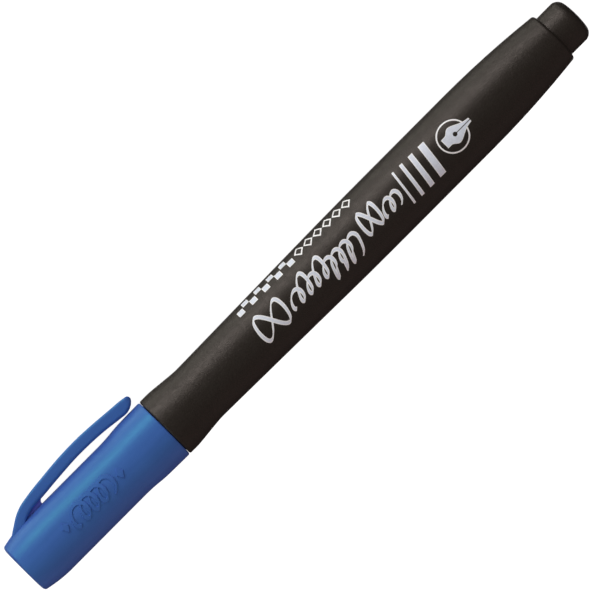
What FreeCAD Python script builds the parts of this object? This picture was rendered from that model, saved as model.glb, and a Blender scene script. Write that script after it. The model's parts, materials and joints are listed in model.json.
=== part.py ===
"""Capped calligraphy marker with a broad chisel nib, modelled as its nine separate pieces.

Every piece is drawn on the marker's own axis: X runs from the tail plug to the crown of the cap, Y
points out to the pocket clip, and Z runs across the clip's width. One placement, the same for all
pieces, then lays the marker on its side so that it rests on the belly of the barrel and on one edge
of the clip. The origin is under the middle of the marker's box, with +Z up. Sizes are millimetres.
"""
import FreeCAD, Part
import math
import os
import Sketcher

# ---------------------------------------------------------------- driving dimensions

DIMENSIONS = {
    # tail plug: a domed knob that shows, and a hollow insert inside the barrel
    "knob_radius": 4.44,
    "knob_length": 5.58,
    "knob_dome_radius": 17.5,
    "knob_edge_round": 1.8,
    "insert_length": 5.75,
    "insert_radius": 4.17,
    "insert_bead_height": 0.06,
    "insert_bead_length": 0.8,
    "plug_wall": 1.1,
    # barrel, from its rear rim to the end of the neck inside the cap
    "rear_rim_radius": 5.18,
    "rim_round": 0.60,
    "belly_radius": 6.40,
    "belly_rear": 27.0,
    "belly_front": 47.0,
    "taper_blend": 16.6,
    "waist": 93.6,
    "waist_radius": 5.80,
    "flare_rear": 95.6,
    "flare_rear_radius": 5.88,
    "flare_front": 99.4,
    "flare_front_radius": 6.26,
    "flare_round": 18.0,
    "collar": 101.4,
    "collar_radius": 6.37,
    "shoulder": 102.83,
    "shoulder_round": 0.34,
    "neck_radius": 5.30,
    "neck_end": 108.8,
    "neck_lead": 0.4,
    "barrel_bore_radius": 4.25,
    "barrel_rib_radius": 3.98,
    "barrel_rib_rear": 14.0,
    "barrel_rib_front": 96.0,
    # clearance between parts that sit close together
    "fit_gap": 0.05,
    # ribs inside the barrel and inside the cap
    "rib_count": 6,
    "rib_width": 0.8,
    # ink reservoir
    "reservoir_rear": 12.0,
    "reservoir_length": 85.0,
    "reservoir_radius": 3.80,
    "film_gap": 0.02,
    "film_thickness": 0.10,
    # nib holder
    "holder_rear": 98.0,
    "holder_radius": 4.20,
    "holder_bore_radius": 2.4,
    "holder_flange_radius": 4.95,
    "holder_flange_length": 1.0,
    "holder_step_radius": 4.30,
    "holder_step_front": 111.0,
    "seal_land_rear": 111.5,
    "seal_land_front": 115.5,
    "seal_land_radius": 3.83,
    "nose_front": 120.0,
    "nose_radius": 2.75,
    "nose_round": 9.0,
    "breather_radius": 0.35,
    "breather_offset": 1.75,
    # nib
    "nib_width": 4.0,
    "nib_thickness": 1.7,
    "nib_clearance": 0.03,
    "nib_tip": 126.3,
    "nib_blade_rear": 106.0,
    "nib_bevel_length": 2.7,
    "nib_edge": 0.3,
    "nib_tail_radius": 1.2,
    "nib_tail_rear": 89.5,
    # cap shell
    "cap_gap": 0.06,
    "cap_mouth_radius": 6.37,
    "cap_mouth_round": 0.34,
    "cap_flare_rear": 107.4,
    "cap_flare_rear_radius": 6.30,
    "cap_flare_middle": 110.1,
    "cap_flare_middle_radius": 6.14,
    "cap_flare_front": 113.5,
    "cap_flare_round": 32.0,
    "cap_radius": 5.95,
    "crown_rear": 131.8,
    "crown_face": 138.0,
    "crown_radius": 5.15,
    "crown_round": 0.70,
    "crown_wall": 1.4,
    "cap_mouth_bore_radius": 5.35,
    "cap_mouth_bore_front": 110.4,
    "cap_bore_radius": 4.80,
    "cap_rib_radius": 4.47,
    "cap_rib_rear": 113.0,
    "cap_stop_radius": 3.4,
    "vent_radius": 1.25,
    # inner cap
    "liner_rear": 112.0,
    "liner_front": 133.0,
    "liner_radius": 4.45,
    "liner_bore_radius": 3.85,
    "liner_lead": 0.3,
    "liner_end_wall": 0.7,
    # pocket clip, with heights measured from the marker's axis
    "clip_root_width": 4.2,
    "clip_tip_width": 3.6,
    "clip_split": 130.5,
    "clip_split_height": 8.25,
    "clip_under_height": 6.10,
    "clip_shoulder": 128.6,
    "clip_shoulder_height": 8.67,
    "clip_root_round": 9.3,
    "clip_bend": 124.0,
    "clip_bend_height": 9.20,
    "clip_peak": 115.8,
    "clip_peak_height": 9.67,
    "clip_peak_inner_height": 7.34,
    "clip_top_round": 68.0,
    "clip_inner_round": 62.0,
    "clip_inner_root": 126.5,
    "clip_inner_root_height": 6.57,
    "clip_pad": 105.9,
    "clip_pad_height": 6.50,
    "clip_pad_round": 2.2,
    "clip_tip": 103.35,
    "clip_tip_inner_height": 8.0,
    "clip_tip_outer_height": 8.58,
    "clip_corner_round": 1.2,
    "clip_edge_round": 0.5,
    # clip foot and web, moulded on the cap shell
    "foot_buried_height": 5.3,
    "foot_rear": 132.0,
    "foot_shoulder": 132.5,
    "foot_shoulder_height": 7.33,
    "foot_toe": 135.1,
    "foot_toe_height": 5.76,
    "web_width": 1.8,
    "web_rear": 127.3,
    "web_rear_height": 6.42,
}

SHEET = "Sizes"
FULL_TURN = 360.0
HORIZONTAL_AXIS = -1
VERTICAL_AXIS = -2
START, END = 1, 2


class Size:
    """A length that carries its value and the sheet expression that the value comes from."""

    def __init__(self, value, text):
        self.value = value
        self.text = text

    def __add__(self, other):
        other = as_size(other)
        return Size(self.value + other.value, f"({self.text} + {other.text})")

    def __sub__(self, other):
        other = as_size(other)
        return Size(self.value - other.value, f"({self.text} - {other.text})")

    def __mul__(self, other):
        other = as_size(other)
        return Size(self.value * other.value, f"({self.text} * {other.text})")

    def __truediv__(self, other):
        other = as_size(other)
        return Size(self.value / other.value, f"({self.text} / {other.text})")

    def __neg__(self):
        return Size(-self.value, f"(0 - {self.text})")


def as_size(number):
    """A plain number becomes a Size whose expression is the number itself."""
    if isinstance(number, Size):
        return number
    return Size(float(number), str(number))


def make_sheet(doc):
    """Fill the spreadsheet, one dimension to a row, and return the sizes by their names."""
    sheet = doc.addObject("Spreadsheet::Sheet", SHEET)
    sizes = {}
    for row, (name, value) in enumerate(DIMENSIONS.items(), start=1):
        sheet.set(f"A{row}", name.replace("_", " "))
        sheet.set(f"B{row}", str(value))
        sheet.setAlias(f"B{row}", name)
        sizes[name] = Size(float(value), f"{SHEET}.{name}")
    doc.recompute()
    return sizes


def tangent_radius(run, rise):
    """Radius of the arc that starts along the axis and climbs by rise over the length run."""
    return (run * run + rise * rise) / (rise * 2)


# ---------------------------------------------------------------- sketching

def origin_feature(body, role):
    """One of the body's own origin planes or axes."""
    return next(feature for feature in body.Origin.OriginFeatures if feature.Role == role)


def new_sketch(body, name, plane="XY_Plane", offset=None):
    """An empty sketch on one of the body's planes, moved along its normal by offset."""
    sketch = body.newObject("Sketcher::SketchObject", name)
    sketch.AttachmentSupport = [(origin_feature(body, plane), "")]
    sketch.MapMode = "FlatFace"
    if offset is not None:
        sketch.setExpression("AttachmentOffset.Base.z", offset.text)
    return sketch


def bind(sketch, constraint, size):
    """Add a constraint that has a value, and tie that value to the sheet."""
    index = sketch.addConstraint(constraint)
    sketch.setExpression(f"Constraints[{index}]", size.text)


def pin_coordinate(sketch, kind, geometry, point, size, zero_axis):
    """Hold one coordinate of a point at a size, on either side of the sketch's axes."""
    if size.value == 0:
        sketch.addConstraint(Sketcher.Constraint("PointOnObject", geometry, point, zero_axis))
    elif size.value > 0:
        distance = Sketcher.Constraint(kind, HORIZONTAL_AXIS, START, geometry, point, size.value)
        bind(sketch, distance, size)
    else:
        distance = Sketcher.Constraint(kind, geometry, point, HORIZONTAL_AXIS, START, -size.value)
        bind(sketch, distance, -size)


def arc_between(first, last, radius, bulge):
    """Arc of a circle from first to last that bulges to the left (+1) or right (-1) of its chord.

    Returns the arc and the ends of it that lie at first and at last, because a sketch's arcs always
    run anticlockwise.
    """
    chord = last - first
    left = FreeCAD.Vector(-chord.y, chord.x, 0).normalize()
    reach = math.sqrt(radius ** 2 - (chord.Length / 2) ** 2)
    centre = (first + last) / 2 - left * bulge * reach
    begin, finish = (last, first) if bulge > 0 else (first, last)
    angles = [math.atan2(point.y - centre.y, point.x - centre.x) for point in (begin, finish)]
    circle = Part.Circle(centre, FreeCAD.Vector(0, 0, 1), radius)
    ends = (END, START) if bulge > 0 else (START, END)
    return Part.ArcOfCircle(circle, *angles), ends


def draw_outline(sketch, corners):
    """Draw a closed outline through the corners and bind all of it to the sheet.

    A corner is (along, out), or (along, out, radius, bulge) when the side that leaves it is an arc.
    """
    points = [FreeCAD.Vector(as_size(c[0]).value, as_size(c[1]).value, 0) for c in corners]
    sides = []
    for index, corner in enumerate(corners):
        first, last = points[index], points[(index + 1) % len(points)]
        if len(corner) == 2:
            side = sketch.addGeometry(Part.LineSegment(first, last), False)
            sides.append((side, START, END))
        else:
            radius, bulge = as_size(corner[2]), corner[3]
            arc, ends = arc_between(first, last, radius.value, bulge)
            side = sketch.addGeometry(arc, False)
            sides.append((side, *ends))
    for index, (side, start, _) in enumerate(sides):
        before, _, before_end = sides[index - 1]
        sketch.addConstraint(Sketcher.Constraint("Coincident", before, before_end, side, start))
    for (side, start, _), corner in zip(sides, corners):
        pin_coordinate(sketch, "DistanceX", side, start, as_size(corner[0]), VERTICAL_AXIS)
        pin_coordinate(sketch, "DistanceY", side, start, as_size(corner[1]), HORIZONTAL_AXIS)
        if len(corner) > 2:
            radius = as_size(corner[2])
            bind(sketch, Sketcher.Constraint("Radius", side, radius.value), radius)


def draw_circle(sketch, radius, offset=None):
    """Draw a circle at the sketch's origin, or at offset along its first axis."""
    along = as_size(0) if offset is None else offset
    centre = FreeCAD.Vector(along.value, 0, 0)
    circle = Part.Circle(centre, FreeCAD.Vector(0, 0, 1), radius.value)
    index = sketch.addGeometry(circle, False)
    centre_point = 3
    pin_coordinate(sketch, "DistanceX", index, centre_point, along, VERTICAL_AXIS)
    pin_coordinate(sketch, "DistanceY", index, centre_point, as_size(0), HORIZONTAL_AXIS)
    bind(sketch, Sketcher.Constraint("Radius", index, radius.value), radius)


def rectangle(rear, front, low, high):
    """Corners of an upright rectangle."""
    return [(rear, low), (front, low), (front, high), (rear, high)]


# ---------------------------------------------------------------- features

def new_body(doc, label):
    body = doc.addObject("PartDesign::Body", label)
    body.Label = label
    return body


def revolve(body, name, corners):
    """Turn an outline once round the marker's axis."""
    sketch = new_sketch(body, f"{name}_outline")
    draw_outline(sketch, corners)
    feature = body.newObject("PartDesign::Revolution", name)
    feature.Profile = sketch
    feature.ReferenceAxis = (sketch, ["H_Axis"])
    feature.Angle = FULL_TURN
    return feature


def pad_across(body, name, corners, width):
    """Extrude a side outline by half its width to each side of the clip's plane."""
    sketch = new_sketch(body, f"{name}_outline")
    draw_outline(sketch, corners)
    feature = body.newObject("PartDesign::Pad", name)
    feature.Profile = sketch
    feature.SideType = "Symmetric"
    feature.setExpression("Length", width.text)
    return feature


def pocket_along(body, name, sketch, length):
    """Cut a sketch on the YZ plane towards the crown of the cap."""
    before = body.Shape.Volume
    feature = body.newObject("PartDesign::Pocket", name)
    feature.Profile = sketch
    feature.Reversed = True
    feature.setExpression("Length", length.text)
    body.Document.recompute()
    if not body.Shape.Volume < before:
        raise RuntimeError(f"{name} cuts nothing")
    return feature


def ring_of_ribs(body, name, corners, sizes):
    """One lengthwise rib on the inside of a bore, repeated round the axis."""
    rib = pad_across(body, name, corners, sizes["rib_width"])
    pattern = body.newObject("PartDesign::PolarPattern", f"{name}_pattern")
    pattern.Originals = [rib]
    pattern.Axis = (origin_feature(body, "X_Axis"), [""])
    pattern.Angle = FULL_TURN
    pattern.setExpression("Occurrences", sizes["rib_count"].text)
    body.Tip = pattern
    return pattern


def round_edges(body, name, radius, chosen):
    """Fillet the edges of the body for which chosen(edge) is true."""
    body.Document.recompute()
    base = body.Tip
    names = [f"Edge{i}" for i, edge in enumerate(base.Shape.Edges, start=1) if chosen(edge)]
    if not names:
        raise RuntimeError(f"{name} finds no edge")
    feature = body.newObject("PartDesign::Fillet", name)
    feature.Base = (base, names)
    feature.setExpression("Radius", radius.text)
    return feature


def rim_at(along, radius):
    """Test for the circular edge of one radius at one place on the axis."""
    tolerance = 0.02

    def chosen(edge):
        if edge.Degenerated or not isinstance(edge.Curve, Part.Circle):
            return False
        on_axis = abs(edge.Curve.Center.x - along.value) < tolerance
        return on_axis and abs(edge.Curve.Radius - radius.value) < tolerance

    return chosen


# ---------------------------------------------------------------- barrel and what it holds

def make_barrel(doc, size):
    """Matt barrel: rear rim, swollen belly, long taper, waist, collar and the neck under the cap."""
    body = new_body(doc, "barrel")
    rear = size["knob_length"]
    rear_taper = tangent_radius(size["belly_rear"] - rear, size["belly_radius"] - size["rear_rim_radius"])
    drop = size["belly_radius"] - size["waist_radius"]
    slope = drop / (size["waist"] - size["belly_front"] - size["taper_blend"] / 2)
    blend_end = size["belly_front"] + size["taper_blend"]
    blend_end_radius = size["belly_radius"] - slope * size["taper_blend"] / 2
    revolve(body, "barrel_wall", [
        (rear, size["barrel_bore_radius"]),
        (rear, size["rear_rim_radius"], rear_taper, 1),
        (size["belly_rear"], size["belly_radius"]),
        (size["belly_front"], size["belly_radius"], size["taper_blend"] / slope, 1),
        (blend_end, blend_end_radius),
        (size["waist"], size["waist_radius"], size["flare_round"], -1),
        (size["flare_rear"], size["flare_rear_radius"]),
        (size["flare_front"], size["flare_front_radius"], size["flare_round"], 1),
        (size["collar"], size["collar_radius"]),
        (size["shoulder"], size["collar_radius"]),
        (size["shoulder"], size["neck_radius"]),
        (size["neck_end"] - size["neck_lead"], size["neck_radius"]),
        (size["neck_end"], size["neck_radius"] - size["neck_lead"]),
        (size["neck_end"], size["barrel_bore_radius"]),
    ])
    ring_of_ribs(body, "reservoir_rib", rectangle(
        size["barrel_rib_rear"], size["barrel_rib_front"],
        size["barrel_rib_radius"], size["barrel_bore_radius"] + size["rim_round"],
    ), size)
    round_edges(body, "rear_rim", size["rim_round"], rim_at(rear, size["rear_rim_radius"]))
    shoulder_rim = rim_at(size["shoulder"], size["collar_radius"])
    round_edges(body, "shoulder_rim", size["shoulder_round"], shoulder_rim)
    return body


def make_tail_plug(doc, size):
    """Plug with a domed knob, whose hollow insert grips the barrel's bore with two low beads."""
    body = new_body(doc, "tail_plug")
    knob_end, knob_radius = size["knob_length"], size["knob_radius"]
    dome_height = knob_radius * knob_radius / (size["knob_dome_radius"] * 2)
    dome_radius = tangent_radius(knob_radius, dome_height)
    insert_end = knob_end + size["insert_length"]
    insert_radius = size["insert_radius"]
    bead_length = size["insert_bead_length"]
    bead_radius = tangent_radius(bead_length / 2, size["insert_bead_height"])
    beads = []
    for bead_place in (knob_end + bead_length * 1.5, insert_end - bead_length * 3):
        beads.append((bead_place, insert_radius, bead_radius, 1))
        beads.append((bead_place + bead_length, insert_radius))
    revolve(body, "plug_wall", [
        (0, 0, dome_radius, 1),
        (dome_height, knob_radius),
        (knob_end, knob_radius),
        (knob_end, insert_radius),
        *beads,
        (insert_end, insert_radius),
        (insert_end, insert_radius - size["plug_wall"]),
        (size["plug_wall"] * 2, insert_radius - size["plug_wall"]),
        (size["plug_wall"] * 2, 0),
    ])
    round_edges(body, "knob_edge", size["knob_edge_round"], rim_at(dome_height, knob_radius))
    return body


def make_nib_holder(doc, size):
    """Nose piece pressed into the barrel's neck, with the slot that grips the nib."""
    body = new_body(doc, "nib_holder")
    flange_end = size["neck_end"] + size["holder_flange_length"]
    revolve(body, "holder_wall", [
        (size["holder_rear"], size["holder_bore_radius"]),
        (size["holder_rear"], size["holder_radius"]),
        (size["neck_end"], size["holder_radius"]),
        (size["neck_end"], size["holder_flange_radius"]),
        (flange_end, size["holder_flange_radius"]),
        (flange_end, size["holder_step_radius"]),
        (size["holder_step_front"], size["holder_step_radius"]),
        (size["seal_land_rear"], size["seal_land_radius"]),
        (size["seal_land_front"], size["seal_land_radius"], size["nose_round"], 1),
        (size["nose_front"], size["nose_radius"]),
        (size["nose_front"], 0),
        (size["nib_blade_rear"], 0),
        (size["nib_blade_rear"], size["holder_bore_radius"]),
    ])
    doc.recompute()
    slot = new_sketch(body, "nib_slot_outline", "YZ_Plane", size["nib_blade_rear"])
    half_thick = size["nib_thickness"] / 2 + size["nib_clearance"]
    half_wide = size["nib_width"] / 2 + size["nib_clearance"]
    draw_outline(slot, rectangle(-half_thick, half_thick, -half_wide, half_wide))
    nose_length = size["nose_front"] - size["nib_blade_rear"]
    pocket_along(body, "nib_slot", slot, nose_length)
    breather = new_sketch(body, "breather_outline", "YZ_Plane", size["nib_blade_rear"])
    draw_circle(breather, size["breather_radius"], size["breather_offset"])
    pocket_along(body, "breather", breather, nose_length)
    return body


def make_nib(doc, size):
    """Flat fibre nib, bevelled on both faces to a chisel edge, with a round tail in the reservoir."""
    body = new_body(doc, "nib")
    half_thick = size["nib_thickness"] / 2
    half_edge = size["nib_edge"] / 2
    bevel_rear = size["nib_tip"] - size["nib_bevel_length"]
    pad_across(body, "blade", [
        (size["nib_blade_rear"], -half_thick),
        (bevel_rear, -half_thick),
        (size["nib_tip"], -half_edge),
        (size["nib_tip"], half_edge),
        (bevel_rear, half_thick),
        (size["nib_blade_rear"], half_thick),
    ], size["nib_width"])
    overlap = size["nib_tail_radius"]
    revolve(body, "tail", rectangle(
        size["nib_tail_rear"], size["nib_blade_rear"] + overlap, 0, size["nib_thickness"] / 2,
    ))
    revolve(body, "tail_sleeve", rectangle(
        size["nib_tail_rear"], size["nib_blade_rear"], 0, size["nib_tail_radius"],
    ))
    return body


def make_rod(doc, name, rear, length, radius):
    """Plain round rod along the marker's axis."""
    rod = doc.addObject("Part::Cylinder", name)
    rod.setExpression("Radius", radius.text)
    rod.setExpression("Height", length.text)
    rod.setExpression("Placement.Base.x", rear.text)
    rod.Placement.Rotation = FreeCAD.Rotation(FreeCAD.Vector(0, 1, 0), 90)
    return rod


def make_cut(doc, label, base, tool):
    """One rod with another cut out of it, as the sub-part of that label."""
    cut = doc.addObject("Part::Cut", label)
    cut.Base = base
    cut.Tool = tool
    cut.Label = label
    return cut


def make_reservoir_core(doc, size):
    """Fibre rod that holds the ink, with the socket that the nib's tail is pushed into."""
    rear, length = size["reservoir_rear"], size["reservoir_length"]
    socket_rear = size["nib_tail_rear"] - size["nib_clearance"]
    rod = make_rod(doc, "core_rod", rear, length, size["reservoir_radius"])
    socket_radius = size["nib_tail_radius"] + size["nib_clearance"]
    socket = make_rod(doc, "core_socket", socket_rear, rear + length - socket_rear, socket_radius)
    return make_cut(doc, "reservoir_core", rod, socket)


def make_reservoir_film(doc, size):
    """Thin film sleeve round the fibre rod, open at both ends."""
    rear, length = size["reservoir_rear"], size["reservoir_length"]
    inner_radius = size["reservoir_radius"] + size["film_gap"]
    outer = make_rod(doc, "film_outside", rear, length, inner_radius + size["film_thickness"])
    inner = make_rod(doc, "film_inside", rear, length, inner_radius)
    return make_cut(doc, "reservoir_film", outer, inner)


# ---------------------------------------------------------------- cap and clip

def make_cap_shell(doc, size):
    """Cap with its crown and vent, the ribs that hold the inner cap, and the foot of the clip."""
    body = new_body(doc, "cap_shell")
    mouth = size["shoulder"] + size["cap_gap"]
    crown_inside = size["crown_face"] - size["crown_wall"]
    crown_length = size["crown_face"] - size["crown_rear"]
    crown_arc = tangent_radius(crown_length, size["cap_radius"] - size["crown_radius"])
    revolve(body, "cap_wall", [
        (mouth, size["cap_mouth_bore_radius"]),
        (mouth, size["cap_mouth_radius"]),
        (size["cap_flare_rear"], size["cap_flare_rear_radius"], size["cap_flare_round"], 1),
        (size["cap_flare_middle"], size["cap_flare_middle_radius"], size["cap_flare_round"], -1),
        (size["cap_flare_front"], size["cap_radius"]),
        (size["crown_rear"], size["cap_radius"], crown_arc, 1),
        (size["crown_face"], size["crown_radius"]),
        (size["crown_face"], size["vent_radius"]),
        (crown_inside, size["vent_radius"]),
        (crown_inside, size["cap_bore_radius"]),
        (size["cap_mouth_bore_front"], size["cap_bore_radius"]),
        (size["cap_mouth_bore_front"], size["cap_mouth_bore_radius"]),
    ])
    round_edges(body, "mouth_rim", size["cap_mouth_round"], rim_at(mouth, size["cap_mouth_radius"]))
    round_edges(body, "crown_edge", size["crown_round"], rim_at(size["crown_face"], size["crown_radius"]))
    stop = size["liner_front"] + size["fit_gap"]
    rib_root = size["cap_bore_radius"] + size["fit_gap"] * 2
    ring_of_ribs(body, "cap_rib", [
        (size["cap_rib_rear"], size["cap_rib_radius"]),
        (stop, size["cap_rib_radius"]),
        (stop, size["cap_stop_radius"]),
        (crown_inside + size["fit_gap"], size["cap_stop_radius"]),
        (crown_inside + size["fit_gap"], rib_root),
        (size["cap_rib_rear"], rib_root),
    ], size)
    buried = size["foot_buried_height"]
    pad_across(body, "clip_foot", [
        (size["foot_rear"], buried),
        (size["foot_toe"], buried),
        (size["foot_toe"], size["foot_toe_height"]),
        (size["foot_shoulder"], size["foot_shoulder_height"], size["clip_root_round"], -1),
        (size["clip_split"], size["clip_split_height"]),
        (size["clip_split"], size["clip_under_height"]),
        (size["foot_rear"], size["clip_under_height"]),
    ], size["clip_root_width"])
    web_front_height = size["clip_under_height"] - size["fit_gap"]
    pad_across(body, "clip_web", [
        (size["web_rear"], buried),
        (size["foot_rear"] + size["web_width"] / 2, buried),
        (size["foot_rear"] + size["web_width"] / 2, size["clip_under_height"]),
        (size["clip_split"], size["clip_under_height"]),
        (size["clip_split"], web_front_height),
        (size["web_rear"], size["web_rear_height"]),
    ], size["web_width"])
    return body


def make_clip(doc, size):
    """Springy arm of the pocket clip: bowed, narrowing to a rounded tip that bears on the cap."""
    body = new_body(doc, "clip")
    root = size["clip_split"] - size["fit_gap"]
    pad_across(body, "arm", [
        (root, size["clip_under_height"]),
        (root, size["clip_split_height"], size["clip_root_round"], -1),
        (size["clip_shoulder"], size["clip_shoulder_height"]),
        (size["clip_bend"], size["clip_bend_height"], size["clip_top_round"], -1),
        (size["clip_peak"], size["clip_peak_height"], size["clip_top_round"], -1),
        (size["clip_tip"], size["clip_tip_outer_height"]),
        (size["clip_tip"], size["clip_tip_inner_height"], size["clip_pad_round"], -1),
        (size["clip_pad"], size["clip_pad_height"], size["clip_inner_round"], 1),
        (size["clip_peak"], size["clip_peak_inner_height"], size["clip_inner_round"], 1),
        (size["clip_inner_root"], size["clip_inner_root_height"]),
    ], size["clip_root_width"])
    doc.recompute()
    before = body.Shape.Volume
    taper = new_sketch(body, "plan_outline", "XZ_Plane")
    corner = size["clip_corner_round"]
    half_tip, half_root = size["clip_tip_width"] / 2, size["clip_root_width"] / 2
    draw_outline(taper, [
        (size["clip_tip"], half_tip - corner, corner, 1),
        (size["clip_tip"] + corner, half_tip),
        (size["clip_split"], half_root),
        (size["clip_split"], half_root + corner),
        (size["clip_tip"] - corner, half_root + corner),
        (size["clip_tip"] - corner, half_tip - corner),
    ])
    pocket = body.newObject("PartDesign::Pocket", "plan_taper")
    pocket.Profile = taper
    pocket.Type = "ThroughAll"
    pocket.SideType = "Symmetric"
    mirrored = body.newObject("PartDesign::Mirrored", "plan_taper_mirrored")
    mirrored.Originals = [pocket]
    mirrored.MirrorPlane = (origin_feature(body, "XY_Plane"), [""])
    body.Tip = mirrored
    doc.recompute()
    if not body.Shape.Volume < before:
        raise RuntimeError("the plan taper cuts nothing")

    def is_top_edge(edge):
        """One of the long edges between the arm's bowed top and its two sides."""
        middle = edge.valueAt((edge.FirstParameter + edge.LastParameter) / 2)
        on_side = abs(middle.z) > half_tip.value - corner.value
        on_top = edge.BoundBox.YMin > size["clip_split_height"].value - size["fit_gap"].value * 2
        return on_side and on_top and edge.BoundBox.XLength > size["clip_edge_round"].value

    round_edges(body, "top_edges", size["clip_edge_round"], is_top_edge)
    return body


def make_inner_cap(doc, size):
    """Soft liner cup that seals on the nib holder and keeps the nib from drying."""
    body = new_body(doc, "inner_cap")
    lead = size["liner_lead"]
    revolve(body, "liner_wall", [
        (size["liner_rear"], size["liner_bore_radius"] + lead),
        (size["liner_rear"], size["liner_radius"]),
        (size["liner_front"], size["liner_radius"]),
        (size["liner_front"], 0),
        (size["liner_front"] - size["liner_end_wall"], 0),
        (size["liner_front"] - size["liner_end_wall"], size["liner_bore_radius"]),
        (size["liner_rear"] + lead * 2, size["liner_bore_radius"]),
    ])
    return body


# ---------------------------------------------------------------- placing, testing and writing

def resting_angle(size):
    """How far below level the clip points when the belly and the clip's edge touch the table."""
    mm = {name: length.value for name, length in size.items()}
    taper_start = mm["clip_tip"] + mm["clip_corner_round"]
    along_arm = (mm["clip_peak"] - taper_start) / (mm["clip_split"] - taper_start)
    width = mm["clip_tip_width"] + (mm["clip_root_width"] - mm["clip_tip_width"]) * along_arm
    edge_round = mm["clip_edge_round"]
    edge_height = mm["clip_peak_height"] - edge_round
    edge_side = width / 2 - edge_round
    drop = mm["belly_radius"] - edge_round
    angle = math.asin(drop / math.hypot(edge_height, edge_side)) - math.atan2(edge_side, edge_height)
    return math.degrees(angle)


def lay_down(doc, pieces, size):
    """Give every piece the one placement that rolls the marker to rest and centres its box."""
    half_turn = 180.0
    roll = FreeCAD.Rotation(FreeCAD.Vector(1, 0, 0), half_turn + resting_angle(size))
    for piece in pieces:
        piece.Placement = FreeCAD.Placement(FreeCAD.Vector(), roll)
    doc.recompute()
    box = FreeCAD.BoundBox()
    for piece in pieces:
        box.add(piece.Shape.optimalBoundingBox(False))
    shift = FreeCAD.Vector(-box.Center.x, -box.Center.y, -box.ZMin)
    for piece in pieces:
        piece.Placement = FreeCAD.Placement(shift, roll)
    doc.recompute()
    print(f"resting angle {resting_angle(size):.3f} degrees, shift {shift}")


def check_document(doc, pieces):
    """Stop if any object failed to compute or any piece isn't one valid closed solid."""
    for item in doc.Objects:
        if "Invalid" in item.State or "Error" in item.State:
            raise RuntimeError(f"{item.Name} failed: {item.State}")
    for piece in pieces:
        shape = piece.Shape
        if shape.isNull() or not shape.isValid() or len(shape.Solids) != 1:
            raise RuntimeError(f"{piece.Label} isn't one valid solid")


def write_pieces(pieces):
    os.makedirs("parts", exist_ok=True)
    for piece in pieces:
        piece.Shape.exportStep(f"parts/{piece.Label}.step")
        print(f"{piece.Label}: {piece.Shape.Volume:.1f} mm3")


def main():
    doc = FreeCAD.newDocument("calligraphy_marker")
    size = make_sheet(doc)
    makers = (
        make_barrel, make_tail_plug, make_nib_holder, make_nib, make_reservoir_core,
        make_reservoir_film, make_cap_shell, make_clip, make_inner_cap,
    )
    pieces = [make_piece(doc, size) for make_piece in makers]
    doc.recompute()
    lay_down(doc, pieces, size)
    check_document(doc, pieces)
    write_pieces(pieces)


main()
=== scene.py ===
"""A capped calligraphy marker on a pale floor: satin blue cap and clip, matt black barrel, silver print.

Shapes are drawn on the marker's own axis, in millimetres: x from the tail to the crown of the cap, out
towards the pocket clip, side across the clip's width. place() turns that into the frame's metres.
"""
import json
import math

import bpy
from mathutils import Matrix, Vector
from mathutils.geometry import convex_hull_2d, delaunay_2d_cdt


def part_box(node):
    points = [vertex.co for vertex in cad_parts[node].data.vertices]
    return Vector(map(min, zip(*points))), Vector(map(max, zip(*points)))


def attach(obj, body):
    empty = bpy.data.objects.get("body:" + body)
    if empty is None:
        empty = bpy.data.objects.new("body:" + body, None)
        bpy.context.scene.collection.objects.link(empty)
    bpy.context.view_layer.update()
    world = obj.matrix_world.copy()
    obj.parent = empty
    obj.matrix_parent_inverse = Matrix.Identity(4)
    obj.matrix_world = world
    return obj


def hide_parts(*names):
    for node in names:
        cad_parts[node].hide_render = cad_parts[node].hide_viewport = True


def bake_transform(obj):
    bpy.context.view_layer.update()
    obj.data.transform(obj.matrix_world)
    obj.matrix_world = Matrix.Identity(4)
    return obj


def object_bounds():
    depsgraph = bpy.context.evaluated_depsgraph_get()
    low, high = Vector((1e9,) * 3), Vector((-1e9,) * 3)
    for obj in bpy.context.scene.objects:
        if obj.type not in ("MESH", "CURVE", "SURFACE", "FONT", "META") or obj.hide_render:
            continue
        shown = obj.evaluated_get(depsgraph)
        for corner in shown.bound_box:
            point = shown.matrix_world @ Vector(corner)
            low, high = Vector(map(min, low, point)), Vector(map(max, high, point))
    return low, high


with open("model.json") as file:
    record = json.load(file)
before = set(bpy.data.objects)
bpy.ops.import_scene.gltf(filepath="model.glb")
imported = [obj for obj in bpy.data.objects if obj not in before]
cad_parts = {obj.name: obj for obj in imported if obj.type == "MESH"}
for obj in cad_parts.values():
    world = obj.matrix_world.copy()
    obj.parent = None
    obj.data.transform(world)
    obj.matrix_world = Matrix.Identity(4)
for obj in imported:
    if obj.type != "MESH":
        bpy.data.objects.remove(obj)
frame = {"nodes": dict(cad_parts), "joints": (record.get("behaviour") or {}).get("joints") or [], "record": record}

cad_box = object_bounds()

MM = 0.001
MOUNTS = {mount["name"]: mount for mount in frame["record"]["mounts"]}
JOINTS = {joint["name"]: joint for joint in frame["joints"]}
GRIP = Vector(MOUNTS["barrel_grip"]["pos_m"])
ALONG = Vector((1, 0, 0))
SIDE = -Vector(JOINTS["clip_flex"]["axis"]).normalized()
OUT = SIDE.cross(ALONG).normalized()
TAIL_END = Vector((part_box("tail_plug")[0].x, GRIP.y, GRIP.z))


def place(x, out=0.0, side=0.0):
    """A point of the marker's own axis system, in millimetres, as a point of the frame."""
    return TAIL_END + (ALONG * x + OUT * out + SIDE * side) * MM


def along_axis(x_metres):
    """How far a place in the frame is from the tail, in millimetres."""
    return (x_metres - TAIL_END.x) / MM


CAP_MOUTH = along_axis(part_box("cap_shell")[0].x)
CROWN = along_axis(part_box("cap_shell")[1].x)
CLIP_TIP = along_axis(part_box("clip")[0].x)
CLIP_ROOT = along_axis(JOINTS["clip_flex"]["pos_m"][0])

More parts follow.
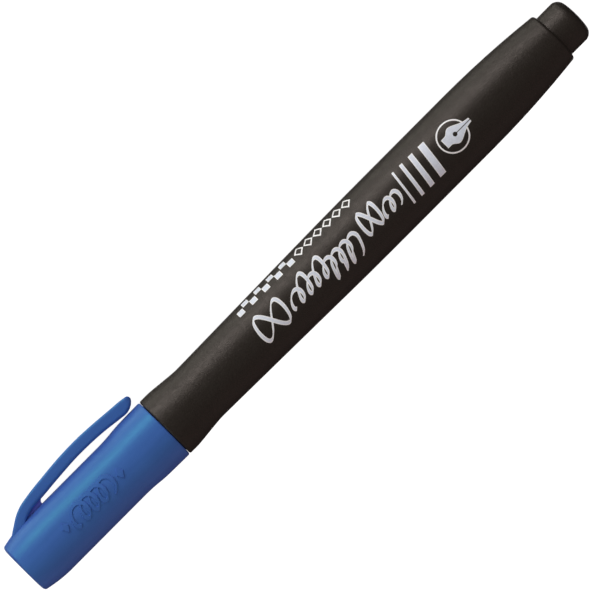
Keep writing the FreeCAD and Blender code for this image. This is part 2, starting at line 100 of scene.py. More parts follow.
# ---------------------------------------------------------------- curves and outlines

def curve_through(knots, x):
    """Height at x of a smooth curve through (x, height) knots, level at its peaks and dips."""
    if x <= knots[0][0]:
        return knots[0][1]
    if x >= knots[-1][0]:
        return knots[-1][1]
    runs = [b[0] - a[0] for a, b in zip(knots, knots[1:])]
    chords = [(b[1] - a[1]) / run for a, b, run in zip(knots, knots[1:], runs)]
    slopes = [chords[0]]
    for before, after, run_before, run_after in zip(chords, chords[1:], runs, runs[1:]):
        mean = (before * run_after + after * run_before) / (run_before + run_after)
        slopes.append(0.0 if before * after <= 0 else mean)
    slopes.append(chords[-1])
    for (x0, y0), (x1, y1), m0, m1 in zip(knots, knots[1:], slopes, slopes[1:]):
        if x <= x1:
            run = x1 - x0
            t = (x - x0) / run
            start = (1 + 2 * t) * (1 - t) ** 2 * y0 + t * (1 - t) ** 2 * run * m0
            return start + t * t * (3 - 2 * t) * y1 + t * t * (t - 1) * run * m1
    return knots[-1][1]


def outside_of(node, least_radius):
    """(x, radius) points of a turned node's outside, from the corners of its own mesh."""
    radii = {}
    for vertex in frame["nodes"][node].data.vertices:
        offset = vertex.co - TAIL_END
        across = offset - ALONG * offset.dot(ALONG)
        radius = across.length / MM
        faces_out = vertex.normal.dot(across.normalized()) > 0.1
        if across.dot(OUT) <= 0 and radius >= least_radius and faces_out:
            x = round(offset.x / MM, 2)
            radii[x] = max(radii.get(x, 0.0), radius)
    return sorted(radii.items())


def arc(centre, radius, start, end, steps):
    """Points on an arc from one angle to another, in degrees, both ends included."""
    angles = [math.radians(start + (end - start) * step / steps) for step in range(steps + 1)]
    return [(centre[0] + radius * math.cos(a), centre[1] + radius * math.sin(a)) for a in angles]


BARREL_OUTSIDE = outside_of("barrel", 5.1)
CAP_OUTSIDE = outside_of("cap_shell", 5.05)

# ---------------------------------------------------------------- mesh helpers

def new_piece(name, points, faces, materials, face_materials=None, sharp_angle=35.0):
    """A smooth-shaded mesh object from points in metres, with creases above the sharp angle."""
    mesh = bpy.data.meshes.new(name)
    mesh.from_pydata([tuple(point) for point in points], [], faces)
    for material in materials:
        mesh.materials.append(material)
    if face_materials:
        mesh.polygons.foreach_set("material_index", face_materials)
    mesh.polygons.foreach_set("use_smooth", [True] * len(mesh.polygons))
    mesh.update()
    mesh.set_sharp_from_angle(angle=math.radians(sharp_angle))
    piece = bpy.data.objects.new(name, mesh)
    bpy.context.scene.collection.objects.link(piece)
    return piece


def loft(loops):
    """Faces that join closed loops of equal length, with the first and last loops filled."""
    count = len(loops[0])
    points = [point for loop in loops for point in loop]
    faces = []
    for row in range(len(loops) - 1):
        low, high = row * count, (row + 1) * count
        for step in range(count):
            following = (step + 1) % count
            faces.append((low + step, low + following, high + following, high + step))
    faces.append(tuple(reversed(range(count))))
    faces.append(tuple(range((len(loops) - 1) * count, len(loops) * count)))
    return points, faces


def turned(outline, segments=192):
    """A closed outline of (x, radius) corners turned once round the marker's axis."""
    points, faces = [], []
    count = len(outline)
    for turn in range(segments):
        angle = 2 * math.pi * turn / segments
        points += [place(x, radius * math.cos(angle), radius * math.sin(angle)) for x, radius in outline]
        here, after = turn * count, (turn + 1) % segments * count
        for step in range(count):
            following = (step + 1) % count
            faces.append((here + step, here + following, after + following, after + step))
    return points, faces


# ---------------------------------------------------------------- materials

def node_material(name):
    """A material with its Principled shader, its node tree and the object's own coordinates."""
    material = bpy.data.materials.new(name)
    material.use_nodes = True
    tree = material.node_tree
    return material, tree, tree.nodes["Principled BSDF"], tree.nodes.new("ShaderNodeTexCoord")


def noise(tree, coordinates, scale, detail=2.0, stretch=1.0):
    """Noise with scale features per metre, drawn out along the marker where stretch is below one."""
    mapping = tree.nodes.new("ShaderNodeMapping")
    mapping.inputs["Scale"].default_value = (stretch, 1.0, 1.0)
    tree.links.new(coordinates.outputs["Object"], mapping.inputs["Vector"])
    texture = tree.nodes.new("ShaderNodeTexNoise")
    texture.inputs["Scale"].default_value = scale
    texture.inputs["Detail"].default_value = detail
    tree.links.new(mapping.outputs["Vector"], texture.inputs["Vector"])
    return texture.outputs["Fac"]


def colour_range(tree, factor, low_colour, high_colour):
    """Colour that goes from one to the other as the factor goes from 0.3 to 0.7."""
    node = tree.nodes.new("ShaderNodeValToRGB")
    node.color_ramp.elements[0].position = 0.3
    node.color_ramp.elements[1].position = 0.7
    node.color_ramp.elements[0].color = (*low_colour, 1)
    node.color_ramp.elements[1].color = (*high_colour, 1)
    tree.links.new(factor, node.inputs["Fac"])
    return node.outputs["Color"]


def number_range(tree, factor, low, high):
    """Number that goes from low to high as the factor goes from 0.3 to 0.7."""
    node = tree.nodes.new("ShaderNodeMapRange")
    node.inputs["From Min"].default_value = 0.3
    node.inputs["From Max"].default_value = 0.7
    node.inputs["To Min"].default_value = low
    node.inputs["To Max"].default_value = high
    tree.links.new(factor, node.inputs["Value"])
    return node.outputs["Result"]


def bump(tree, height, strength, depth, below=None):
    """Bump of a height, with its depth in metres, on top of another bump."""
    node = tree.nodes.new("ShaderNodeBump")
    node.inputs["Strength"].default_value = strength
    node.inputs["Distance"].default_value = depth
    tree.links.new(height, node.inputs["Height"])
    if below:
        tree.links.new(below, node.inputs["Normal"])
    return node.outputs["Normal"]


def textured_black_plastic():
    """Matt black moulding with a fine spark-eroded grain."""
    material, tree, shader, coordinates = node_material("textured_black_plastic")
    grain = noise(tree, coordinates, 5200, 3.0)
    mottle = noise(tree, coordinates, 900)
    tint = colour_range(tree, grain, (0.0084, 0.0072, 0.0056), (0.0198, 0.0169, 0.0134))
    tree.links.new(tint, shader.inputs["Base Color"])
    tree.links.new(number_range(tree, mottle, 0.38, 0.49), shader.inputs["Roughness"])
    shader.inputs["Specular IOR Level"].default_value = 0.50
    shader.inputs["Specular Tint"].default_value = (1.0, 0.87, 0.80, 1)
    fine = bump(tree, grain, 0.8, 0.00008)
    tree.links.new(bump(tree, mottle, 0.1, 0.00005, fine), shader.inputs["Normal"])
    return material


def blue_plastic(name, low_colour, high_colour):
    """Satin blue moulding, with faint flow marks along it, a light grain and a cool sheen."""
    material, tree, shader, coordinates = node_material(name)
    flow = noise(tree, coordinates, 700, 2.0, stretch=0.08)
    grain = noise(tree, coordinates, 4200)
    tree.links.new(colour_range(tree, flow, low_colour, high_colour), shader.inputs["Base Color"])
    tree.links.new(number_range(tree, grain, 0.38, 0.47), shader.inputs["Roughness"])
    shader.inputs["Specular IOR Level"].default_value = 0.62
    shader.inputs["Specular Tint"].default_value = (0.12, 1.0, 0.74, 1)
    low = bump(tree, flow, 0.12, 0.00005)
    tree.links.new(bump(tree, grain, 0.38, 0.00004, low), shader.inputs["Normal"])
    return material


def silver_ink(name, colour, roughness):
    """Opaque silver-grey print with a slightly uneven film of ink."""
    material, tree, shader, coordinates = node_material(name)
    film = noise(tree, coordinates, 2600, 3.0)
    darker = tuple(channel * 0.90 for channel in colour)
    tree.links.new(colour_range(tree, film, darker, colour), shader.inputs["Base Color"])
    tree.links.new(number_range(tree, film, roughness, roughness + 0.12), shader.inputs["Roughness"])
    tree.links.new(bump(tree, film, 0.15, 0.00002), shader.inputs["Normal"])
    return material


def stained_fibre():
    """Bonded fibre with fine strands along the marker, stained blue by the ink."""
    material, tree, shader, coordinates = node_material("stained_fibre")
    strands = noise(tree, coordinates, 6000, 3.0, stretch=0.05)
    tint = colour_range(tree, strands, (0.012, 0.03, 0.16), (0.05, 0.10, 0.36))
    tree.links.new(tint, shader.inputs["Base Color"])
    shader.inputs["Roughness"].default_value = 0.8
    tree.links.new(bump(tree, strands, 0.5, 0.0001), shader.inputs["Normal"])
    return material


def liner_plastic():
    """Soft natural polyethylene with a cloudy, waxy look."""
    material, tree, shader, coordinates = node_material("liner_plastic")
    cloud = noise(tree, coordinates, 500)
    tint = colour_range(tree, cloud, (0.70, 0.70, 0.66), (0.82, 0.82, 0.79))
    tree.links.new(tint, shader.inputs["Base Color"])
    tree.links.new(number_range(tree, cloud, 0.45, 0.55), shader.inputs["Roughness"])
    shader.inputs["Subsurface Weight"].default_value = 0.2
    shader.inputs["Subsurface Scale"].default_value = 0.0008
    return material


def clear_film():
    """Thin clear sleeve, slightly milky, with draw lines along it."""
    material, tree, shader, coordinates = node_material("clear_film")
    lines = noise(tree, coordinates, 2500, 2.0, stretch=0.02)
    tint = colour_range(tree, lines, (0.80, 0.84, 0.88), (0.92, 0.94, 0.96))
    tree.links.new(tint, shader.inputs["Base Color"])
    tree.links.new(number_range(tree, lines, 0.12, 0.25), shader.inputs["Roughness"])
    shader.inputs["Transmission Weight"].default_value = 0.85
    tree.links.new(bump(tree, lines, 0.3, 0.00002), shader.inputs["Normal"])
    return material


BLACK = textured_black_plastic()
BLUE = blue_plastic("blue_plastic", (0.051, 0.117, 0.428), (0.057, 0.129, 0.466))
# Lighter, more violet copy of the blue, painted on the clip web to stand in for bounce light in the shaded slot
# under the clip's root.
PAINTED_RECESS_BLUE = blue_plastic("painted_recess_blue", (0.125, 0.10, 0.62), (0.145, 0.115, 0.68))
INK_FILL = silver_ink("silver_ink", (0.79, 0.83, 0.92), 0.45)
INK_EDGE = silver_ink("silver_ink_edge", (1.0, 0.99, 0.98), 0.40)
FIBRE = stained_fibre()
LINER = liner_plastic()
FILM = clear_film()

NODE_MATERIALS = {
    "barrel": BLACK,
    "tail_plug": BLACK,
    "nib_holder": BLACK,
    "nib": FIBRE,
    "reservoir_core": FIBRE,
    "reservoir_film": FILM,
    "cap_shell": BLUE,
    "clip": BLUE,
    "inner_cap": LINER,
}
for node, material in NODE_MATERIALS.items():
    frame["nodes"][node].data.materials.clear()
    frame["nodes"][node].data.materials.append(material)


# ---------------------------------------------------------------- cap tube

BORE_STEP = CAP_MOUTH + 7.5         # where the bore under the flared mouth ends
MOUTH_BORE, BORE, VENT = 5.35, 4.80, 1.25       # radii of the cap's three bores
CROWN_WALL = 1.4


def cap_outline():
    """Outline of the cap's wall, over the outside from mouth to crown and back through the inside."""
    mouth_round, crown_length, crown_depth, flat = 0.34, 0.60, 0.95, 0.04
    mouth_radius = curve_through(CAP_OUTSIDE, CAP_MOUTH + 1.0)
    outline = [(CAP_MOUTH, MOUTH_BORE)]
    outline += arc((CAP_MOUTH + mouth_round, mouth_radius - mouth_round), mouth_round, 180, 90, 6)
    start, end, steps = CAP_MOUTH + 1.0, CROWN - crown_length - flat, 90
    for step in range(steps + 1):
        x = start + (end - start) * step / steps
        outline.append((x, curve_through(CAP_OUTSIDE, x)))
    edge_radius = outline[-1][1]
    for x, depth in arc((0, 0), 1.0, 80, 0, 9):
        outline.append((end + crown_length * x, edge_radius - crown_depth * (1 - depth)))
    outline += [(CROWN, VENT + 0.15), (CROWN - 0.15, VENT)]
    outline += [(CROWN - CROWN_WALL, VENT), (CROWN - CROWN_WALL, BORE)]
    outline += [(BORE_STEP, BORE), (BORE_STEP - 0.3, MOUTH_BORE)]
    return outline


def make_cap_tube():
    """Wall of the cap, with its bores and its vent."""
    points, faces = turned(cap_outline())
    tube = new_piece("cap_tube", points, faces, [BLUE], sharp_angle=30)
    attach(tube, "cap")
    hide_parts("cap_shell")


def make_cap_ribs():
    """Ribs inside the cap that hold the inner cap."""
    count, start, end, lead = 6, 113.0, CROWN - CROWN_WALL, 0.6
    root, rib_top, half = BORE + 0.2, 4.47, 0.4
    for number in range(count):
        turn = 2 * math.pi * (number + 0.5) / count
        loops = []
        for x, top in ((start, BORE), (start + lead, rib_top), (end, rib_top)):
            loop = []
            for radius, side in ((root, -half), (root, half), (top, half), (top, -half)):
                out = radius * math.cos(turn) - side * math.sin(turn)
                across = radius * math.sin(turn) + side * math.cos(turn)
                loop.append(place(x, out, across))
            loops.append(loop)
        points, faces = loft(loops)
        rib = new_piece(f"cap_rib_{number + 1}", points, faces, [BLUE])
        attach(rib, "cap")


# ---------------------------------------------------------------- pocket clip

FOOT_START = 132.2
FOOT_END = 136.1
CLIP_TOP = [
    (CLIP_TIP + 0.02, 8.22), (CLIP_TIP + 0.08, 8.42), (CLIP_TIP + 0.22, 8.60), (CLIP_TIP + 0.50, 8.72),
    (104.3, 8.81), (108.0, 9.17), (112.0, 9.50), (115.8, 9.65), (120.0, 9.53), (124.0, 9.19),
    (128.6, 8.66), (130.6, 8.27), (132.4, 7.52), (133.75, 6.66), (135.1, 5.78), (FOOT_END, 5.09),
]
CLIP_BOTTOM = [
    (CLIP_TIP + 0.02, 7.98), (CLIP_TIP + 0.14, 7.74), (CLIP_TIP + 0.5, 7.33), (104.5, 6.88),
    (105.2, 6.61), (105.9, 6.53), (107.0, 6.64), (110.8, 7.10), (116.5, 7.34), (122.0, 7.06),
    (126.5, 6.68), (128.2, 6.58), (129.7, 6.36), (130.8, 6.02), (131.6, 5.60), (FOOT_START, 5.00),
]


def clip_half_width(x):
    """Half of the clip's width, narrowing to a rounded tip and a rounded toe."""
    tip, root, corner, toe = 1.8, 2.0, 1.25, 1.5
    tip_depth, toe_depth = 0.9, 0.7         # how much of its radius each round corner takes off
    width = tip + (root - tip) * (x - CLIP_TIP) / (CLIP_ROOT - CLIP_TIP)
    if x < CLIP_TIP + corner:
        reach = (CLIP_TIP + corner - x) / corner
        return width - corner * tip_depth * (1 - math.sqrt(max(1 - reach ** 2, 0.0)))
    if x > FOOT_END - toe:
        reach = (x - FOOT_END + toe) / toe
        return root - toe * toe_depth * (1 - math.sqrt(max(1 - reach ** 2, 0.0)))
    return min(width, root)


def clip_section(x):
    """Loop of (out, side) points round the clip at x, rounded on all its edges and slightly crowned."""
    top, half = curve_through(CLIP_TOP, x), clip_half_width(x)
    bottom = min(curve_through(CLIP_BOTTOM, x), top - 0.05)
    height = top - bottom
    top_round = min(0.40, height * 0.45, half * 0.6)
    low_round = min(0.66, height * 0.33)
    crowning = 0.04 * min(height, 1.0)
    right = arc((top - top_round, half - top_round), top_round, 0, 90, 6)
    right += arc((bottom + low_round, half - low_round), low_round, 90, 180, 5)
    left = [(out, -side) for out, side in reversed(right)]
    return [(top + crowning, 0.0)] + right + [(bottom, 0.0)] + left


def clip_stations():
    """Places of the sections along the clip, closest together where it curves most."""
    tip_length, tip_steps, arm_end, arm_steps, foot_steps = 1.6, 12, 127.0, 56, 36
    arm_start = CLIP_TIP + tip_length
    places = [CLIP_TIP + 0.02 + tip_length * (step / tip_steps) ** 2 for step in range(tip_steps)]
    places += [arm_start + (arm_end - arm_start) * step / arm_steps for step in range(1, arm_steps)]
    places += [arm_end + (FOOT_END - arm_end) * step / foot_steps for step in range(foot_steps + 1)]
    return places


def make_clip_arm():
    """Arm and foot of the clip in one piece."""
    loops = [[place(x, out, side) for out, side in clip_section(x)] for x in clip_stations()]
    points, faces = loft(loops)
    arm = new_piece("clip_arm", points, faces, [BLUE], sharp_angle=50)
    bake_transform(arm)
    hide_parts("clip")


def make_clip_web():
    """Narrow web that closes the slot under the root of the clip, in a lighter, more violet blue painted on to
    stand in for bounce light in that shaded recess.
    """
    half, front, back, low, fillet = 0.9, 127.42, 132.6, 5.2, 0.8
    outline = [(back, low), (back, 6.3), (130.0, 6.55), (128.2, 6.85), (front - 1.0, 6.85)]
    outline += arc((front - fillet, 5.95), fillet, 75, 0, 6)
    outline += [(front, low)]
    loops = [[place(x, out, side) for x, out in outline] for side in (-half, half)]
    points, faces = loft(loops)
    web = new_piece("clip_web", points, faces, [PAINTED_RECESS_BLUE], sharp_angle=40)
    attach(web, "cap")


# ---------------------------------------------------------------- flat shapes for print and relief

def nib_shape(width, thickness, angle):
    """Corners of a broad nib's footprint, with its edge at an angle in degrees to the line of writing."""
    c, s = math.cos(math.radians(angle)), math.sin(math.radians(angle))
    corners = [(-width, -thickness), (width, -thickness), (width, thickness), (-width, thickness)]
    return [((a * c - b * s) / 2, (a * s + b * c) / 2) for a, b in corners]


def stroke(path, nib):
    """Convex shapes that together cover what a nib covers when it is drawn along a path."""
    shapes = []
    for start, end in zip(path, path[1:]):
        points = [Vector((x + dx, y + dy)) for x, y in (start, end) for dx, dy in nib]
        shapes.append([tuple(points[index]) for index in convex_hull_2d(points)])
    return shapes


def bezier(a, b, c, d, steps):
    """Points on a cubic curve with two ends and two handles."""
    points = []
    for step in range(steps + 1):
        t = step / steps
        weights = ((1 - t) ** 3, 3 * t * (1 - t) ** 2, 3 * t * t * (1 - t), t ** 3)
        points.append(tuple(sum(w * p[axis] for w, p in zip(weights, (a, b, c, d))) for axis in (0, 1)))
    return points


def moved(shape, du, dv):
    """A shape's corners, moved by (du, dv)."""
    return [(u + du, v + dv) for u, v in shape]


def rectangle(left, low, width, height):
    """Corners of an upright rectangle."""
    return moved([(0, 0), (width, 0), (width, height), (0, height)], left, low)


def diamond(centre, half_width, half_height):
    """Corners of a diamond that stands on one corner."""
    return moved([(-half_width, 0), (0, -half_height), (half_width, 0), (0, half_height)], *centre)


def slanted_bar(left, width, height, slope):
    """Corners of a bar that leans by slope, with its middle at v = 0 and its left side there at left."""
    reach, right = height / 2, left + width
    lean = slope * reach
    return [(left - lean, -reach), (right - lean, -reach), (right + lean, reach), (left + lean, reach)]


def on_tube(outside, start):
    """Surface of a turned part, as a function of u from start towards the tail, v round it and a lift."""
    def surface(u, v, lift):
        x = start - u
        radius = curve_through(outside, x)
        angle = v / radius
        return place(x, (radius + lift) * math.sin(angle), -(radius + lift) * math.cos(angle))
    return surface


def triangulated(outer, inner, holes):
    """Triangles that cover the outer shapes apart from the holes, and which of them lie in inner shapes.

    They are cut along lines close enough together for them to bend round the marker.
    """
    line_gap = 0.45
    corners, faces_in = [], []
    for shape in outer + inner + holes:
        area = sum(a[0] * b[1] - b[0] * a[1] for a, b in zip(shape, shape[1:] + shape[:1]))
        anticlockwise = shape if area > 0 else shape[::-1]
        faces_in.append(list(range(len(corners), len(corners) + len(shape))))
        corners += [Vector(corner) for corner in anticlockwise]
    u_low, u_high = min(c.x for c in corners), max(c.x for c in corners)
    v_low, v_high = min(c.y for c in corners), max(c.y for c in corners)
    edges_in = []
    for line in range(1, int((v_high - v_low) / line_gap)):
        v = v_low + line * line_gap
        edges_in.append((len(corners), len(corners) + 1))
        corners += [Vector((u_low - 1, v)), Vector((u_high + 1, v))]
    flat, _, triangles, _, _, origins = delaunay_2d_cdt(corners, edges_in, faces_in, 1, 1e-5)
    first_inner, first_hole = len(outer), len(outer) + len(inner)
    kept, in_middle = [], []
    for triangle, origin in zip(triangles, origins):
        if origin and not any(index >= first_hole for index in origin):
            kept.append(tuple(triangle))
            in_middle.append(any(index >= first_inner for index in origin))
    return flat, kept, in_middle


def relief(name, body, surface, levels, outer, inner, holes, materials):
    """Closed raised shapes on a curved surface, with levels for their foot, their rim and their middle.

    Inner shapes are the middle of outer ones. Where there are two materials, the second is the middle's.
    """
    foot, rim, middle = levels
    flat, triangles, in_middle = triangulated(outer, inner, holes)
    middle_corners = set()
    for triangle, inside in zip(triangles, in_middle):
        if inside:
            middle_corners.update(triangle)
    used = sorted({index for triangle in triangles for index in triangle})
    new_index = {old: new for new, old in enumerate(used)}
    count = len(used)
    heights = [middle if index in middle_corners else rim for index in used]
    points = [surface(flat[index].x, flat[index].y, height) for index, height in zip(used, heights)]
    points += [surface(flat[index].x, flat[index].y, foot) for index in used]
    top = [tuple(new_index[index] for index in triangle) for triangle in triangles]
    bottom = [tuple(index + count for index in reversed(triangle)) for triangle in top]
    directed = {(a, b) for t in top for a, b in zip(t, t[1:] + t[:1])}
    rims = [(a, b) for a, b in directed if (b, a) not in directed]
    walls = [(b, a, a + count, b + count) for a, b in sorted(rims)]
    face_materials = None
    if len(materials) > 1:
        finishes = [1 if inside else 0 for inside in in_middle]
        face_materials = finishes + finishes + [0] * len(walls)
    piece = new_piece(name, points, top + bottom + walls, materials, face_materials, sharp_angle=30)
    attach(piece, body)


# ---------------------------------------------------------------- silver print on the barrel

PRINT_START = 79.9        # where the print begins; it runs from there towards the tail
INSET = 0.12              # width of the paler rim round each printed shape
PRINT_LEVELS = (-0.05, 0.025, 0.025)
on_barrel = on_tube(BARREL_OUTSIDE, PRINT_START)


def printed(name, outer, inner, holes=()):
    """Silver print on the barrel, paler along the rims of its shapes than in their middles."""
    inks = [INK_EDGE, INK_FILL]
    relief(name, "barrel", on_barrel, PRINT_LEVELS, outer, inner, list(holes), inks)


def figure_eight(centre, reach, height, slant, steps=96):
    """A lying figure of eight."""
    points = []
    for step in range(steps + 1):
        angle = 2 * math.pi * step / steps
        v = height * math.sin(2 * angle)
        points.append((centre[0] + reach * math.sin(angle) + slant * v, centre[1] + v))
    return points


def running_loops(start, end, middle, size, reaches, count, slant):
    """A line of linked loops, with the heights and depths of the loops taken in turn from reaches."""
    steps_each = 26
    steps = steps_each * count
    points = []
    for step in range(steps + 1):
        turn = step / steps_each
        loop = min(int(turn), count - 1)
        above, below = reaches[loop % len(reaches)]
        angle = 2 * math.pi * turn
        height = -math.cos(angle)
        v = middle + (above if height > 0 else below) * height
        u = start + (end - start) * step / steps - size * math.sin(angle) + slant * (v - middle)
        points.append((u, v))
    return points


def make_script_band():
    """Middle of the print: figures of eight and linked loops of a broad nib, which spell nothing."""
    width, thickness, core_thickness, angle = 0.74, 0.20, 0.02, 42.0
    low, tall, deep = (1.3, 1.3), (2.9, 1.3), (1.3, 3.0)
    long_word = [low, tall, low, tall, low, deep, low, deep]
    middle, slant = -0.35, 0.36
    paths = [
        figure_eight((3.7, 0.0), 3.2, 2.5, 0.1),
        running_loops(8.6, 24.4, middle, 0.85, long_word, len(long_word), slant),
        figure_eight((28.4, 0.4), 2.0, 2.2, 0.1, 72),
        running_loops(31.4, 34.8, middle, 0.75, [low], 2, slant),
    ]
    nib = nib_shape(width, thickness, angle)
    core = nib_shape(width - 2 * INSET, core_thickness, angle)
    outer = [shape for path in paths for shape in stroke(path, nib)]
    inner = [shape for path in paths for shape in stroke(path, core)]
    printed("print_flourish", outer, inner)


def make_top_band():
    """Upper line of the print: a ladder of nib-width squares, then a row of open diamonds."""
    low, size, pitch, lean = 4.75, 1.42, 1.55, 0.12
    core = size - 2 * INSET
    squares, cores = [], []
    for column in range(9):
        row = column % 2
        left, bottom = 0.1 + column * pitch + lean * row, low + row * size
        squares.append(rectangle(left, bottom, size, size))
        cores.append(rectangle(left + INSET, bottom + INSET, core, core))
    printed("print_ladder", squares, cores)
    half_width, half_height, opening = 1.12, 1.36, 0.66
    centres = [(15.6 + number * 2.35, low + size) for number in range(6)]
    diamonds = [diamond(centre, half_width, half_height) for centre in centres]
    openings = [diamond(centre, half_width * opening, half_height * opening) for centre in centres]
    printed("print_diamonds", diamonds, [], openings)


def make_width_gauge():
    """Four slanted bars of growing width, which stand for the widths of stroke."""
    left, height, gap, lean = 36.25, 6.9, 1.45, 0.9         # lean is sideways, from foot to top
    slope = lean / height
    bars, cores = [], []
    for width in (0.44, 0.72, 1.04, 1.40):
        bars.append(slanted_bar(left, width, height, slope))
        cores.append(slanted_bar(left + INSET, width - 2 * INSET, height - 2 * INSET, slope))
        left += width + gap
    printed("print_width_gauge", bars, cores)


def nib_half(grow):
    """Upper half of a dip nib's outline, from its heel to its broad tip, grown by a small amount."""
    heel, neck, shoulder, tip = -2.05 - grow, -1.2, 0.35, 4.2 + grow
    slim, broad, edge = 0.95 + grow, 1.75 + grow, 0.42 + grow
    points = [(heel, slim), (neck, slim)]
    points += bezier((neck, slim), (-0.6, slim + 0.05), (-0.4, broad), (shoulder, broad), 8)[1:]
    points += bezier((shoulder, broad), (1.4, broad - 0.15), (2.2, edge + 0.13), (tip, edge), 10)[1:]
    return points


def strips(upper):
    """Convex strips that fill the shape between a curve and its mirror image."""
    shapes = []
    for (u0, v0), (u1, v1) in zip(upper, upper[1:]):
        if u1 - u0 > 1e-4:
            shapes.append([(u0, -v0), (u1, -v1), (u1, v1), (u0, v0)])
    return shapes


def make_ring_mark():
    """A ring round a dip nib with its slit and breather hole, as a sign for broad-nib writing."""
    centre, radius, line = (48.93, 0.25), 2.94, 0.29
    breather, breather_radius, slit_width = 0.55, 0.42, 0.15
    pen = arc((0, 0), line / 2, 0, 315, 7)
    ring = stroke(arc((0, 0), radius, 0, 360, 72), pen)
    hole = arc((breather, 0), breather_radius, 0, 345, 23)
    slit = rectangle(0.8, -slit_width / 2, 3.4, slit_width)
    outer = [moved(shape, *centre) for shape in ring + strips(nib_half(0.0))]
    inner = [moved(shape, *centre) for shape in strips(nib_half(-INSET))]
    clearance = [moved(shape, *centre) for shape in (hole, slit)]
    printed("print_ring_mark", outer, inner, clearance)


# ---------------------------------------------------------------- raised ornament on the cap

RELIEF_START = 128.4      # where the ornament begins; it runs from there towards the mouth
RELIEF_LEVELS = (-0.08, 0.01, 0.20)
on_cap = on_tube(CAP_OUTSIDE, RELIEF_START)


def make_cap_relief():
    """Raised pen wave between two diamonds, moulded in the wall of the cap."""
    width, thickness, angle, slope = 0.95, 0.42, 45.0, 0.14
    half_width, half_height, flat_top = 0.85, 1.3, 0.75
    wave = running_loops(3.4, 12.0, 0.0, 1.2, [(1.75, 1.75)], 4, 0.2)
    outer = stroke(wave, nib_shape(width, thickness, angle))
    inner = stroke(wave, nib_shape(width - 2 * slope, thickness - 2 * slope, angle))
    for u in (0.9, 14.4):
        outer.append(diamond((u, 0.0), half_width, half_height))
        inner.append(diamond((u, 0.0), half_width * flat_top, half_height * flat_top))
    relief("cap_relief", "cap", on_cap, RELIEF_LEVELS, outer, inner, [], [BLUE])


make_cap_tube()
make_cap_ribs()
make_clip_arm()
make_clip_web()
make_script_band()
make_top_band()
make_width_gauge()
make_ring_mark()
make_cap_relief()


# ---------------------------------------------------------------- stage, lights and camera

def make_floor():
    """Plain pale floor, lit from within like a photographer's light table."""
    material, tree, shader, coordinates = node_material("floor")
    speckle = noise(tree, coordinates, 40)
    tint = colour_range(tree, speckle, (0.28, 0.28, 0.28), (0.30, 0.30, 0.30))
    tree.links.new(tint, shader.inputs["Base Color"])
    shader.inputs["Roughness"].default_value = 0.9
    shader.inputs["Emission Color"].default_value = (1, 1, 1, 1)
    shader.inputs["Emission Strength"].default_value = 1.0
    half = 3.0
    corners = [Vector((x, y, 0)) for x, y in ((-half, -half), (half, -half), (half, half), (-half, half))]
    floor = new_piece("floor", corners, [(0, 1, 2, 3)], [material])
    floor.visible_diffuse = False
    floor.visible_glossy = False
    floor.visible_shadow = False


def make_light(name, angle, lean, distance, size, power, colour=(1, 1, 1), mirrored=True):
    """Soft rectangular light aimed at the marker.

    The angle is from the viewer towards the clip side, and the lean from there towards the crown. A light
    that isn't mirrored lights the surfaces and leaves no highlight in their sheen.
    """
    lamp = bpy.data.lights.new(name, "AREA")
    lamp.shape = "RECTANGLE"
    lamp.size, lamp.size_y = size
    lamp.energy = power
    lamp.color = colour
    light = bpy.data.objects.new(name, lamp)
    bpy.context.scene.collection.objects.link(light)
    angle, lean = math.radians(angle), math.radians(lean)
    across = OUT * math.sin(angle) - SIDE * math.cos(angle)
    toward = across * math.cos(lean) + ALONG * math.sin(lean)
    third = toward.cross(ALONG).normalized()
    turn = Matrix((third.cross(toward), third, toward)).transposed()
    spot = Vector((0, GRIP.y, GRIP.z)) + toward * distance
    light.matrix_world = Matrix.Translation(spot) @ turn.to_4x4()
    light.visible_camera = False
    light.visible_glossy = mirrored


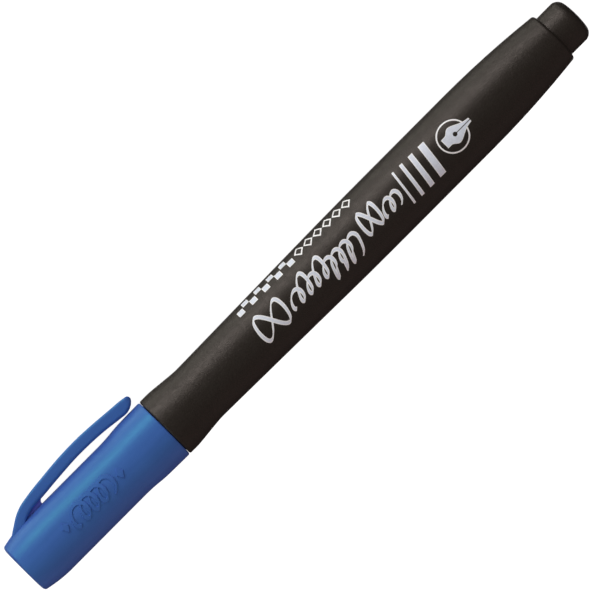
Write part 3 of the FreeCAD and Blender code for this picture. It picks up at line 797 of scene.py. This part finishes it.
def make_world():
    """Dim warm room above the level of the floor, and almost nothing below it."""
    world = bpy.data.worlds.new("studio")
    world.use_nodes = True
    tree = world.node_tree
    coordinates = tree.nodes.new("ShaderNodeTexCoord")
    direction = tree.nodes.new("ShaderNodeSeparateXYZ")
    strength = tree.nodes.new("ShaderNodeMapRange")
    strength.inputs["From Min"].default_value = -0.1
    strength.inputs["From Max"].default_value = 0.2
    strength.inputs["To Min"].default_value = 0.04
    strength.inputs["To Max"].default_value = 0.21
    background = tree.nodes["Background"]
    background.inputs["Color"].default_value = (1.0, 0.86, 0.82, 1)
    tree.links.new(coordinates.outputs["Generated"], direction.inputs["Vector"])
    tree.links.new(direction.outputs["Z"], strength.inputs["Value"])
    tree.links.new(strength.outputs["Result"], background.inputs["Strength"])
    bpy.context.scene.world = world


def make_camera():
    """Long lens nearly square to the marker and edge-on to the clip, with the tail at the upper right."""
    lens, tilt, lead = 500.0, math.radians(45.15), math.radians(1.7)
    marker_share = 1.3239865            # length of the marker against the width of the picture
    length = cad_box[1].x - cad_box[0].x
    to_viewer = -SIDE * math.cos(lead) + ALONG * math.sin(lead)
    to_tail = -ALONG * math.cos(lead) - SIDE * math.sin(lead)
    right = to_tail * math.cos(tilt) - OUT * math.sin(tilt)
    up = to_tail * math.sin(tilt) + OUT * math.cos(tilt)
    data = bpy.data.cameras.new("camera")
    data.lens = lens
    camera = bpy.data.objects.new("camera", data)
    bpy.context.scene.collection.objects.link(camera)
    off_centre = 0.00775                # the marker sits this share of its length towards the tail
    middle = Vector((off_centre * length, GRIP.y, GRIP.z))
    distance = length / marker_share * lens / data.sensor_width
    turn = Matrix((right, up, to_viewer)).transposed()
    camera.matrix_world = Matrix.Translation(middle + to_viewer * distance) @ turn.to_4x4()
    data.clip_end = 20
    bpy.context.scene.camera = camera


make_floor()
make_light("key", angle=61.0, lean=-1.5, distance=0.42, size=(0.50, 0.11), power=1.26)
make_light("table_glow", angle=106.0, lean=5.0, distance=0.42, size=(0.60, 0.18), power=0.66,
           colour=(0.94, 0.95, 0.88))
make_light("fill_low", angle=-42.0, lean=22.0, distance=0.62, size=(0.8, 0.5), power=0.55, mirrored=False)
make_light("fill_front", angle=10.0, lean=14.0, distance=0.60, size=(0.8, 0.4), power=0.42, mirrored=False)
make_light("end_glow", angle=0.0, lean=66.0, distance=0.50, size=(0.30, 0.30), power=0.35,
           colour=(0.8, 1.0, 1.0))
make_light("under_table", angle=178.0, lean=0.0, distance=0.42, size=(0.60, 0.24), power=0.5)
make_light("warm_bounce", angle=-100.0, lean=8.0, distance=0.42, size=(0.60, 0.18), power=0.38,
           colour=(1.0, 0.24, 0.34), mirrored=False)
make_world()
make_camera()
bpy.context.scene.view_settings.view_transform = "Standard"
